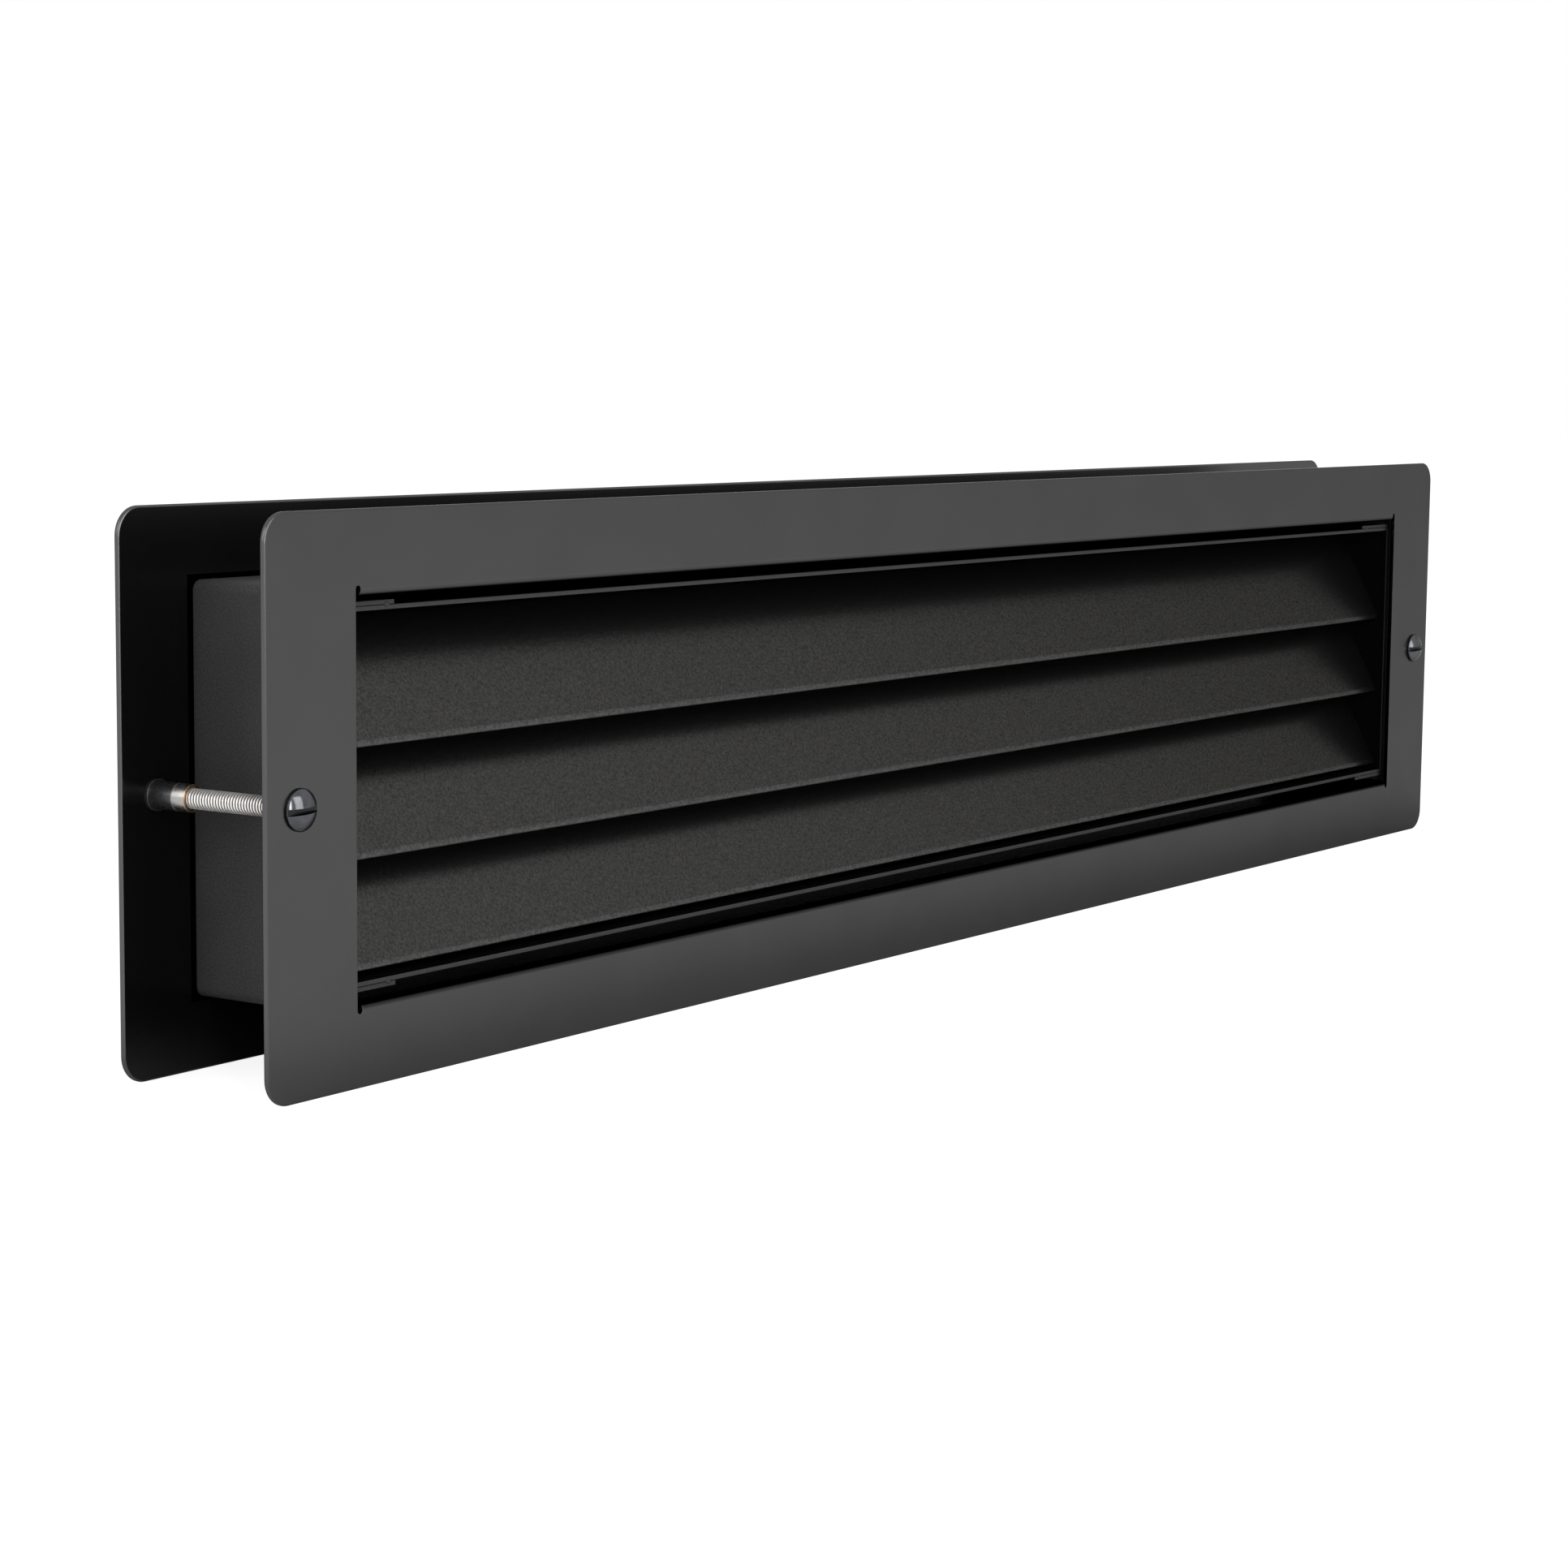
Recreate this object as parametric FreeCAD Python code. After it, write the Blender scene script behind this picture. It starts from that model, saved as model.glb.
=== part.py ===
"""Door vent grille: two folded cover plates clamp a door leaf, one on each side.

A sheet sleeve lines the cut-out in the door and carries a cassette of chevron slats.
The front plate's flanges telescope in the sleeve, drawn in by a screw at each end.
Millimetres. The origin is the middle of the vent, +X runs along it, +Z is up,
and the front plate faces -Y.
"""
import FreeCAD
import Part
import math
import os

# Cover plates
PLATE_LENGTH = 500.0
PLATE_HEIGHT = 108.0
PLATE_SHEET = 1.2
PLATE_CORNER_RADIUS = 5.5
PLATE_EDGE_ROUND = 0.45
DOOR_THICKNESS = 34.8
BORDER_AT_ENDS = 24.4
BORDER_ABOVE = 16.4
FLANGE_TO_FLANGE_GAP = 5.2
FLANGE_TIP_RADIUS = 3.0
FOLD_INSIDE_RADIUS = 0.5
NOTCH_WIDTH = 1.4
NOTCH_DEPTH = 0.6

# Sleeve round the flanges
SLEEVE_SHEET = 0.8
SLEEVE_INSIDE_RADIUS = 1.2
WINDOW_TO_SLEEVE_END = 5.6
FLANGE_CLEARANCE = 0.1

# Cassette frame: two end walls and two rails
FRONT_SETBACK = 2.1
CASSETTE_SHEET = 0.9
FLANGE_TO_TAB_GAP = 1.0
TAB_LENGTH = 17.5
WALL_TO_SLEEVE_GAP = 1.8
RAIL_END_GAP = 0.6
DIMPLE_BASE_RADIUS = 5.5
DIMPLE_TOP_RADIUS = 3.5

# Slats
SLAT_COUNT = 3
SLAT_SHEET = 0.9
SLAT_TO_RAIL_GAP = 1.89
RIDGE_TO_RAIL_GAP = 1.0
SLAT_SETBACK = 1.8
SLAT_ANGLE = 61.2
SLAT_LIP = 0.6
SLAT_RIDGE_RADIUS = 0.5
SLAT_END_GAP = 0.4
TENON_START = 7.0
TENON_WIDTH = 9.0
TENON_CLEARANCE = 0.1
TENON_STAND_OUT = 1.0

# Screws and sleeve nuts
SCREW_INSET = 9.0
HEAD_DIAMETER = 8.0
HEAD_EDGE = 0.8
HEAD_HEIGHT = 2.3
SLOT_WIDTH = 1.2
SLOT_DEPTH = 1.2
SLOT_TILT = 2.2
SCREW_DIAMETER = 3.9
SCREW_END_GAP = 1.9
SCREW_TIP_CHAMFER = 0.6
SCREW_HOLE_DIAMETER = 4.5
NUT_DIAMETER = 5.3
NUT_LENGTH = 10.8
NUT_SHOULDER_DIAMETER = 6.2
NUT_SHOULDER_STAND_OUT = 0.8
NUT_HOLE_DIAMETER = 6.4
NUT_WEB = 0.3
NUT_MOUTH_CHAMFER = 0.3
THREAD_CLEARANCE = 0.05

# Places that follow from the sizes above
INNER_FACE = DOOR_THICKNESS / 2
OUTER_FACE = INNER_FACE + PLATE_SHEET
WINDOW_LENGTH = PLATE_LENGTH - 2 * BORDER_AT_ENDS
WINDOW_HEIGHT = PLATE_HEIGHT - 2 * BORDER_ABOVE
FLANGE_FACE = WINDOW_HEIGHT / 2
FLANGE_BACK = FLANGE_FACE + PLATE_SHEET
FOLD_LINE = FLANGE_FACE + PLATE_SHEET + FOLD_INSIDE_RADIUS
FLANGE_END = WINDOW_LENGTH / 2 - NOTCH_WIDTH
SLEEVE_LENGTH = WINDOW_LENGTH + 2 * WINDOW_TO_SLEEVE_END
SLEEVE_INSIDE_HEIGHT = 2 * (FLANGE_BACK + FLANGE_CLEARANCE)
SLEEVE_INSIDE_LENGTH = SLEEVE_LENGTH - 2 * SLEEVE_SHEET
SLEEVE_BACK = INNER_FACE - FOLD_INSIDE_RADIUS
CASSETTE_FRONT = INNER_FACE - FRONT_SETBACK
WALL_OUTSIDE = SLEEVE_INSIDE_LENGTH / 2 - WALL_TO_SLEEVE_GAP
WALL_INSIDE = WALL_OUTSIDE - CASSETTE_SHEET
TAB_OUTSIDE = FLANGE_FACE - FLANGE_TO_TAB_GAP
TAB_INSIDE = TAB_OUTSIDE - CASSETTE_SHEET
RAIL_INSIDE = TAB_INSIDE - CASSETTE_SHEET
SLAT_EDGE = CASSETTE_FRONT - SLAT_SETBACK - SLAT_SHEET / 2
SLAT_RISE = SLAT_EDGE * math.tan(math.radians(SLAT_ANGLE))
SLAT_HEIGHT = SLAT_LIP + SLAT_RISE
SLAT_BOTTOM = SLAT_TO_RAIL_GAP - RAIL_INSIDE
SLAT_TOP = RAIL_INSIDE - RIDGE_TO_RAIL_GAP
SLAT_PITCH = (SLAT_TOP - SLAT_HEIGHT - SLAT_BOTTOM) / (SLAT_COUNT - 1)
SCREW_PLACE = PLATE_LENGTH / 2 - SCREW_INSET
SCREW_TIP = OUTER_FACE - NUT_WEB - SCREW_END_GAP

ALONG_X = FreeCAD.Vector(1, 0, 0)
ALONG_Y = FreeCAD.Vector(0, 1, 0)
ALONG_Z = FreeCAD.Vector(0, 0, 1)


def box(low, high):
    """Block between two opposite corners."""
    size = [b - a for a, b in zip(low, high)]
    return Part.makeBox(*size, FreeCAD.Vector(*low))


def rod(radius, x, y_from, y_to):
    """Round bar along Y at height zero."""
    start = FreeCAD.Vector(x, y_from, 0)
    return Part.makeCylinder(radius, y_to - y_from, start, ALONG_Y)


def rounded_rectangle(length, height, radius, y):
    """Closed outline in a plane across Y, with round corners."""
    x = length / 2
    z = height / 2
    edges = []
    for turn, (half_run, half_rise) in enumerate([(x, z), (z, x), (x, z), (z, x)]):
        side = Part.LineSegment(
            FreeCAD.Vector(radius - half_run, 0, -half_rise),
            FreeCAD.Vector(half_run - radius, 0, -half_rise),
        ).toShape()
        centre = FreeCAD.Vector(half_run - radius, 0, radius - half_rise)
        corner = Part.Arc(
            centre + FreeCAD.Vector(0, 0, -radius),
            centre + FreeCAD.Vector(radius, 0, -radius) * math.sqrt(0.5),
            centre + FreeCAD.Vector(radius, 0, 0),
        ).toShape()
        for edge in (side, corner):
            edge.rotate(FreeCAD.Vector(), ALONG_Y, -90 * turn)
            edges.append(edge.translate(FreeCAD.Vector(0, y, 0)))
    return Part.Wire(edges)


def strip_side(corners, normal, radius, shift):
    """Edges that follow a folded middle line at a distance to its left."""
    steps = [(b - a).normalize() for a, b in zip(corners, corners[1:])]
    edges = []
    here = corners[0] + normal.cross(steps[0]) * shift
    for corner, before, after in zip(corners[1:-1], steps, steps[1:]):
        turn = math.atan2(normal.dot(before.cross(after)), before.dot(after))
        run_off = radius * math.tan(abs(turn) / 2)
        to_centre = normal.cross(before) * math.copysign(radius, turn)
        centre = corner - before * run_off + to_centre
        bend_radius = radius - math.copysign(shift, turn * shift)
        first = corner - before * run_off + normal.cross(before) * shift
        last = corner + after * run_off + normal.cross(after) * shift
        middle = centre + (corner - centre).normalize() * bend_radius
        edges.append(Part.LineSegment(here, first).toShape())
        edges.append(Part.Arc(first, middle, last).toShape())
        here = last
    edges.append(Part.LineSegment(here, corners[-1] + normal.cross(steps[-1]) * shift).toShape())
    return edges


def folded_strip(corners, normal, sheet, inside_radius, round_ends=False):
    """Face of a folded sheet seen edge-on, from the corners of its middle line."""
    half = sheet / 2
    radius = inside_radius + half
    left = strip_side(corners, normal, radius, half)
    right = strip_side(corners, normal, radius, -half)
    edges = left + right
    for end, inner, index in ((corners[0], corners[1], 0), (corners[-1], corners[-2], -1)):
        a = left[index].Vertexes[index].Point
        b = right[index].Vertexes[index].Point
        if round_ends:
            nose = end + (end - inner).normalize() * half
            edges.append(Part.Arc(a, nose, b).toShape())
        else:
            edges.append(Part.LineSegment(a, b).toShape())
    return Part.Face(Part.Wire(Part.sortEdges(edges)[0]))


def along_x(face, x_from, x_to):
    """Solid that carries a face across X from one place to another."""
    return face.translated(ALONG_X * x_from).extrude(ALONG_X * (x_to - x_from))


def round_edges(solid, radius, test):
    """Fillet the straight and curved edges that a test picks by their middle point."""
    chosen = [edge for edge in solid.Edges if test(edge, edge.CenterOfMass)]
    return solid.makeFillet(radius, chosen)


def mirrored(shape):
    """The same piece at the other end of the vent."""
    return shape.mirror(FreeCAD.Vector(), ALONG_X)


def plate_face(hole_diameter):
    """Flat part of a cover plate, with its window, relief notches and screw holes."""
    front = -OUTER_FACE
    outline = rounded_rectangle(PLATE_LENGTH, PLATE_HEIGHT, PLATE_CORNER_RADIUS, front)
    sheet = Part.Face(outline).extrude(ALONG_Y * PLATE_SHEET)
    faces = (front, front + PLATE_SHEET)
    sheet = round_edges(
        sheet, PLATE_EDGE_ROUND, lambda edge, p: any(abs(p.y - y) < 0.001 for y in faces)
    )
    half_window = WINDOW_LENGTH / 2
    cutters = [box((-half_window, front, -FOLD_LINE), (half_window, front + PLATE_SHEET, FOLD_LINE))]
    for side in (-1, 1):
        cutters.append(rod(hole_diameter / 2, side * SCREW_PLACE, front, front + PLATE_SHEET))
        for end in (-1, 1):
            cutters.append(relief_notch(end, side, front))
    return sheet.cut(cutters)


def relief_notch(end, side, front):
    """Round-ended slit beside a window corner, where the fold stops."""
    radius = NOTCH_WIDTH / 2
    x = end * (WINDOW_LENGTH / 2 - radius)
    tip = FOLD_LINE + NOTCH_DEPTH - radius
    low, high = sorted((0, side * tip))
    slit = box((x - radius, front, low), (x + radius, front + PLATE_SHEET, high))
    start = FreeCAD.Vector(x, front, side * tip)
    return slit.fuse(Part.makeCylinder(radius, PLATE_SHEET, start, ALONG_Y))


def flange():
    """Upper flange of the front plate, folded back into the door, with its fold."""
    middle_of_face = -OUTER_FACE + PLATE_SHEET / 2
    middle_of_flange = FLANGE_FACE + PLATE_SHEET / 2
    tip = -FLANGE_TO_FLANGE_GAP / 2
    lap = FOLD_LINE + PLATE_SHEET
    path = [
        FreeCAD.Vector(0, middle_of_face, lap),
        FreeCAD.Vector(0, middle_of_face, middle_of_flange),
        FreeCAD.Vector(0, tip, middle_of_flange),
    ]
    section = folded_strip(path, ALONG_X, PLATE_SHEET, FOLD_INSIDE_RADIUS)
    strip = along_x(section, -FLANGE_END, FLANGE_END)
    return round_edges(
        strip,
        FLANGE_TIP_RADIUS,
        lambda edge, p: abs(p.y - tip) < 0.001 and abs(abs(p.x) - FLANGE_END) < 0.001,
    )


def front_cover(hole_diameter):
    """Cover plate for the front of the door, folded from one sheet."""
    upper = flange()
    lower = upper.mirror(FreeCAD.Vector(), ALONG_Z)
    return plate_face(hole_diameter).fuse([upper, lower]).removeSplitter()


def rear_cover(hole_diameter):
    """The same cover plate turned to face the back of the door."""
    plate = front_cover(hole_diameter)
    plate.rotate(FreeCAD.Vector(), ALONG_Z, 180)
    return plate


def sleeve():
    """Rectangular sheet band that lines the cut-out, up to the rear plate's fold."""
    inside_radius = SLEEVE_INSIDE_RADIUS
    inside = rounded_rectangle(
        SLEEVE_INSIDE_LENGTH, SLEEVE_INSIDE_HEIGHT, inside_radius, -CASSETTE_FRONT
    )
    outside = rounded_rectangle(
        SLEEVE_LENGTH,
        SLEEVE_INSIDE_HEIGHT + 2 * SLEEVE_SHEET,
        inside_radius + SLEEVE_SHEET,
        -CASSETTE_FRONT,
    )
    depth = ALONG_Y * (CASSETTE_FRONT + SLEEVE_BACK)
    return Part.Face(outside).extrude(depth).cut(Part.Face(inside).extrude(depth))


def rail():
    """Flat strip along the top of the cassette, between the end walls' tabs."""
    end = WALL_INSIDE - RAIL_END_GAP
    low = (-end, -CASSETTE_FRONT, RAIL_INSIDE)
    return box(low, (end, CASSETTE_FRONT, TAB_INSIDE))


def slat_path(bottom):
    """Corners of a slat's middle line: lip, slope, ridge, slope, lip."""
    lip_top = bottom + SLAT_LIP
    return [
        FreeCAD.Vector(0, -SLAT_EDGE, bottom),
        FreeCAD.Vector(0, -SLAT_EDGE, lip_top),
        FreeCAD.Vector(0, 0, lip_top + SLAT_RISE),
        FreeCAD.Vector(0, SLAT_EDGE, lip_top),
        FreeCAD.Vector(0, SLAT_EDGE, bottom),
    ]


def tenon_sections(bottom, clearance):
    """Short straight sections on a slat's two slopes, where its tenons stand."""
    path = slat_path(bottom)
    sections = []
    for foot in (path[1], path[3]):
        up = (path[2] - foot).normalize()
        start = foot + up * (TENON_START - clearance)
        end = foot + up * (TENON_START + TENON_WIDTH + clearance)
        sections.append(folded_strip([start, end], ALONG_X, SLAT_SHEET + 2 * clearance, 0))
    return sections


def slat(bottom):
    """Chevron slat with lipped edges and two tenons at each end."""
    end = WALL_INSIDE - SLAT_END_GAP
    section = folded_strip(slat_path(bottom), ALONG_X, SLAT_SHEET, SLAT_RIDGE_RADIUS, True)
    blade = along_x(section, -end, end)
    reach = WALL_OUTSIDE + TENON_STAND_OUT
    tenons = [along_x(face, -reach, reach) for face in tenon_sections(bottom, 0)]
    return blade.fuse(tenons).removeSplitter()


def slat_bottoms():
    """Heights of the slats' lower edges, from the lowest up."""
    return [SLAT_BOTTOM + number * SLAT_PITCH for number in range(SLAT_COUNT)]


def dimple(z):
    """Pressed spacer, outside and hollow, that stands the wall off the sleeve."""
    depth = WALL_TO_SLEEVE_GAP
    slope = (DIMPLE_BASE_RADIUS - DIMPLE_TOP_RADIUS) / depth
    foot = FreeCAD.Vector(WALL_OUTSIDE, 0, z)
    skin = Part.makeCone(DIMPLE_BASE_RADIUS, DIMPLE_TOP_RADIUS, depth, foot, ALONG_X)
    narrower = CASSETTE_SHEET * math.hypot(1, slope) - CASSETTE_SHEET * slope
    hollow = Part.makeCone(
        DIMPLE_BASE_RADIUS - narrower,
        DIMPLE_TOP_RADIUS - narrower,
        depth,
        foot - ALONG_X * CASSETTE_SHEET,
        ALONG_X,
    )
    return skin, hollow


def end_wall():
    """Right end wall of the cassette, with a tab over each rail and slots for the tenons."""
    tab_end = WALL_OUTSIDE - TAB_LENGTH
    middle_x = WALL_OUTSIDE - CASSETTE_SHEET / 2
    middle_z = TAB_OUTSIDE - CASSETTE_SHEET / 2
    front = -CASSETTE_FRONT
    path = [
        FreeCAD.Vector(tab_end, front, middle_z),
        FreeCAD.Vector(middle_x, front, middle_z),
        FreeCAD.Vector(middle_x, front, -middle_z),
        FreeCAD.Vector(tab_end, front, -middle_z),
    ]
    section = folded_strip(path, ALONG_Y, CASSETTE_SHEET, FOLD_INSIDE_RADIUS)
    wall = section.extrude(ALONG_Y * (2 * CASSETTE_FRONT))
    slots = []
    for bottom in slat_bottoms():
        for face in tenon_sections(bottom, TENON_CLEARANCE):
            slots.append(along_x(face, WALL_INSIDE, WALL_OUTSIDE))
    wall = wall.cut(slots)
    for bottom in (slat_bottoms()[0], slat_bottoms()[-1]):
        skin, hollow = dimple(bottom + SLAT_LIP + SLAT_RISE / 3)
        wall = wall.fuse(skin).cut(hollow)
    return wall.removeSplitter()


def slotted_head(x):
    """Domed head on the front plate, with its slot, at one end of the vent."""
    radius = HEAD_DIAMETER / 2
    seat = -OUTER_FACE
    rim = seat - HEAD_EDGE
    crown = seat - HEAD_HEIGHT
    dome_height = HEAD_HEIGHT - HEAD_EDGE
    dome_radius = (radius ** 2 + dome_height ** 2) / (2 * dome_height)
    half_way = radius / 2
    sag = dome_radius - math.sqrt(dome_radius ** 2 - half_way ** 2)
    edges = [
        Part.LineSegment(FreeCAD.Vector(x, seat, 0), FreeCAD.Vector(x + radius, seat, 0)),
        Part.LineSegment(FreeCAD.Vector(x + radius, seat, 0), FreeCAD.Vector(x + radius, rim, 0)),
        Part.Arc(
            FreeCAD.Vector(x + radius, rim, 0),
            FreeCAD.Vector(x + half_way, crown + sag, 0),
            FreeCAD.Vector(x, crown, 0),
        ),
        Part.LineSegment(FreeCAD.Vector(x, crown, 0), FreeCAD.Vector(x, seat, 0)),
    ]
    section = Part.Face(Part.Wire([edge.toShape() for edge in edges]))
    axis_point = FreeCAD.Vector(x, 0, 0)
    head = section.revolve(axis_point, ALONG_Y, 360)
    slot = box(
        (x - radius, crown, -SLOT_WIDTH / 2), (x + radius, crown + SLOT_DEPTH, SLOT_WIDTH / 2)
    )
    slot.rotate(axis_point, ALONG_Y, -SLOT_TILT)
    return head.cut(slot)


def screw(x):
    """Slotted screw through the front plate. Its shank stands for the thread's crests."""
    shank = rod(SCREW_DIAMETER / 2, x, -OUTER_FACE, SCREW_TIP)
    at_tip = [edge for edge in shank.Edges if abs(edge.CenterOfMass.y - SCREW_TIP) < 0.001]
    shank = shank.makeChamfer(SCREW_TIP_CHAMFER, at_tip)
    return slotted_head(x).fuse(shank).removeSplitter()


def sleeve_nut(x):
    """Blind barrel nut from the rear plate, with the same head as the screw."""
    head = slotted_head(-x)
    head.rotate(FreeCAD.Vector(), ALONG_Z, 180)
    mouth = OUTER_FACE - NUT_LENGTH
    shoulder = rod(
        NUT_SHOULDER_DIAMETER / 2, x, INNER_FACE - NUT_SHOULDER_STAND_OUT, OUTER_FACE
    )
    barrel = rod(NUT_DIAMETER / 2, x, mouth, OUTER_FACE)
    bore_radius = SCREW_DIAMETER / 2 + THREAD_CLEARANCE
    bore = rod(bore_radius, x, mouth, OUTER_FACE - NUT_WEB)
    countersink = Part.makeCone(
        bore_radius + NUT_MOUTH_CHAMFER,
        bore_radius,
        NUT_MOUTH_CHAMFER,
        FreeCAD.Vector(x, mouth, 0),
        ALONG_Y,
    )
    return head.fuse([shoulder, barrel]).cut([bore, countersink]).removeSplitter()


def pieces():
    """Every piece of the vent by name."""
    upper_rail = rail()
    right_wall = end_wall()
    parts = {
        "front_plate": front_cover(SCREW_HOLE_DIAMETER),
        "rear_plate": rear_cover(NUT_HOLE_DIAMETER),
        "sleeve": sleeve(),
        "top_rail": upper_rail,
        "bottom_rail": upper_rail.mirror(FreeCAD.Vector(), ALONG_Z),
        "left_end_wall": mirrored(right_wall),
        "right_end_wall": right_wall,
        "left_screw": screw(-SCREW_PLACE),
        "right_screw": screw(SCREW_PLACE),
        "left_sleeve_nut": sleeve_nut(-SCREW_PLACE),
        "right_sleeve_nut": sleeve_nut(SCREW_PLACE),
    }
    for number, bottom in enumerate(slat_bottoms(), start=1):
        parts[f"slat_{number}"] = slat(bottom)
    return parts


os.makedirs("parts", exist_ok=True)
for name, shape in pieces().items():
    shape.exportStep(f"parts/{name}.step")
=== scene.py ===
"""Door vent grille, finished for the studio.

Two cover plates in satin black clamp a door between them. The sheet sleeve between the plates
and the slatted cassette inside it carry duller black coats. Slotted screws with bright threads
run into part-blackened barrel nuts, and small tack welds hold the cassette's corners.
"""
import math
import random
from itertools import pairwise, zip_longest

import bmesh
import bpy
from bpy.props import FloatProperty, FloatVectorProperty, IntProperty, PointerProperty
from mathutils import Matrix, Vector


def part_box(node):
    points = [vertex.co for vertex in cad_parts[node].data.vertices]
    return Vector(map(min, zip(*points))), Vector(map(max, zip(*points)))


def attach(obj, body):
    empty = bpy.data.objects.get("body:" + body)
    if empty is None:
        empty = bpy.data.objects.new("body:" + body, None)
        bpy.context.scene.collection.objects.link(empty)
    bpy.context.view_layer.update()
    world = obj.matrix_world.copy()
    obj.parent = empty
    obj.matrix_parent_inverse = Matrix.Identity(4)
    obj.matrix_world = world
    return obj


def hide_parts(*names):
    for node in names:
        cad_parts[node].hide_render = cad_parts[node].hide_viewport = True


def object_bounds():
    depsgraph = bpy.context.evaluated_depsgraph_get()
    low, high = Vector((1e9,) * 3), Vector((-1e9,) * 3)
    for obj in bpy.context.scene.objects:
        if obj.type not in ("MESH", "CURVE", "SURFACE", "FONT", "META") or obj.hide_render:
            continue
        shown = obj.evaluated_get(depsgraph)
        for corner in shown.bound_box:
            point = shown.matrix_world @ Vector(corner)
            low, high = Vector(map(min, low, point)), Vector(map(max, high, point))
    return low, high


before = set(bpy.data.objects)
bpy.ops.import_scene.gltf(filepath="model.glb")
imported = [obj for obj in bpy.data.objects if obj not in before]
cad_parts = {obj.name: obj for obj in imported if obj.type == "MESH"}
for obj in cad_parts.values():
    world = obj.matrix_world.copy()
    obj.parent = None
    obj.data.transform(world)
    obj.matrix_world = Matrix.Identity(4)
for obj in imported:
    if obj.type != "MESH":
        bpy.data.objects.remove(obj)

CAD_BOX = [list(corner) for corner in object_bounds()]

bl_info = {
    "name": "Door Vent Grille",
    "version": (1, 0, 0),
    "blender": (4, 5, 0),
    "location": "3D View > Sidebar > Vent",
    "description": "Finishes a door vent grille: coats, threads, welds and stage",
    "category": "Object",
}

MM = 0.001

# Nodes by the finish that they carry
CASSETTE_FRAME = ("top_rail", "bottom_rail", "left_end_wall", "right_end_wall")
SLATS = ("slat_1", "slat_2", "slat_3")
ENDS = ("left", "right")

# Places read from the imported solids
FRONT_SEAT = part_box("front_plate")[0].y
REAR_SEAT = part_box("rear_plate")[1].y
SLEEVE_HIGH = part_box("sleeve")[1]
RAIL_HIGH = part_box("top_rail")[1]
NUT_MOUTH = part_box("left_sleeve_nut")[0].y

PLATE_SHEET = 1.2 * MM
REAR_INNER_FACE = REAR_SEAT - PLATE_SHEET

# Gap that still counts as touching, slack at a sheet's face, and the middle of a noise's range
HAIR = 0.001 * MM
FACE_MARGIN = 0.01 * MM
NOISE_MIDDLE = (0.25, 0.75)

# Powder coats: the size of a patch of tone, and the rounding of the sheets' cut edges
TONE_PATCH = 18 * MM
CUT_EDGE_ROUND = 0.18 * MM
CUT_EDGE_SAMPLES = 6

# Painted highlight on cut edges: where a coat begins to turn lighter ahead of a sheet's
# cut edge, and where it is lightest
EDGE_HIGHLIGHT_START = 0.20 * MM
EDGE_HIGHLIGHT_FULL = 0.05 * MM

# Painted shade in the line between two sheets: half its width, where it has faded, and its share
# of the tone
SEAM_HALF_WIDTH = 0.05 * MM
SEAM_FADED = 0.18 * MM
SEAM_SHADE_TONE = 0.3

# Depths under a plate's face between which its tone becomes the painted highlight of the cut edge
PLATE_EDGE_HIGHLIGHT_DEPTHS = (0.05 * MM, 0.25 * MM)

# Painted shade in the plates' window folds: the depths at which the lower and the upper one
# are fully shaded, the powers of the way there, what is left of the glance, and how far
# past the sleeve they count
LOW_FOLD_DEPTH = 0.32 * MM
HIGH_FOLD_DEPTH = 0.75 * MM
LOW_FOLD_POWER = 0.5
HIGH_FOLD_POWER = 1.0
FOLD_GLANCE = 0.08
WINDOW_MARGIN = 1.0 * MM

# Blackened heads: smudges, faint turning marks, the painted shade in the slot, and how
# they reflect
SMUDGE_SIZE = 1.6 * MM
SMUDGE_TONES = (0.75, 1.15)
SMUDGE_ROUGHNESS = (0.10, 0.17)
TURNING_MARK_SIZE = 0.25 * MM
TURNING_MARK_HEIGHT = 0.0015 * MM
SLOT_SHADE_TONE = 0.10
HEAD_METAL = 0.95
HEAD_GLANCE = (0.5, 0.5, 0.5, 1.0)

# Thread: painted shade in its roots and a painted highlight on its crests, as shares of the
# steel's tone, and its scuffs
ROOT_SHADE_TONE = 0.09
CREST_HIGHLIGHT_TONE = 1.95
SCUFF_SIZE = 0.5 * MM
THREAD_ROUGHNESS = (0.26, 0.36)
THREAD_METAL = 0.6

# Nut's barrel: nickel's share of the steel's tone, streaks, and the ragged edge of the black
NICKEL_TONE = 0.8
STREAK_SIZE = 0.8 * MM
BARREL_ROUGHNESS = (0.24, 0.36)
BARREL_GLOSS = 0.8
RAGGED_SIZE = 0.9 * MM
RAGGED_REACH = 0.35 * MM
BLACK_EDGE = (-0.05 * MM, 0.40 * MM)

# Facets and angles of the fasteners' meshes
ROUND_STEPS = 96
DOME_STEPS = 20
LIP_STEPS = 5
HEAD_EDGE_STEPS = 3
HEAD_EDGE_ANGLE = math.radians(32)
SHARP_ANGLE = math.radians(40)

# Driver slot: length of its cutter, how upright its floor's normal is, and the floor's share
# of the painted shade
SLOT_CUTTER_LENGTH = 100 * MM
SLOT_FLOOR_NORMAL = 0.9
SLOT_FLOOR_SHADE = 0.8

# Thread's section: points from crest to crest, and its flats as shares of half a pitch
THREAD_POINTS = 16
ROOT_FLAT = 0.08
CREST_FLAT = 0.34

# Tack welds: distance from the tab's end, width as a share of the length, how far behind the
# rails' edges the tone turns lighter as a painted highlight, and how round and how smooth
# the drop is
WELD_FROM_TAB_END = 2.2 * MM
WELD_WIDTH = 2 / 3
WELD_HIGHLIGHT_DEPTH = 0.3 * MM
WELD_SUBDIVISIONS = 3
WELD_SMOOTHING = 0.6

# Lamps: name, place, width and height, and colour
LAMPS = (
    ("key_lamp", (-0.17, -1.36, 0.60), (0.85, 1.3), (1.0, 0.995, 0.985)),
    ("side_lamp", (-1.6, 0.5, 0.85), (1.2, 1.2), (0.98, 0.99, 1.0)),
    ("edge_lamp", (-1.0, -1.1, 0.45), (0.2, 0.9), (0.98, 0.99, 1.0)),
)

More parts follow.
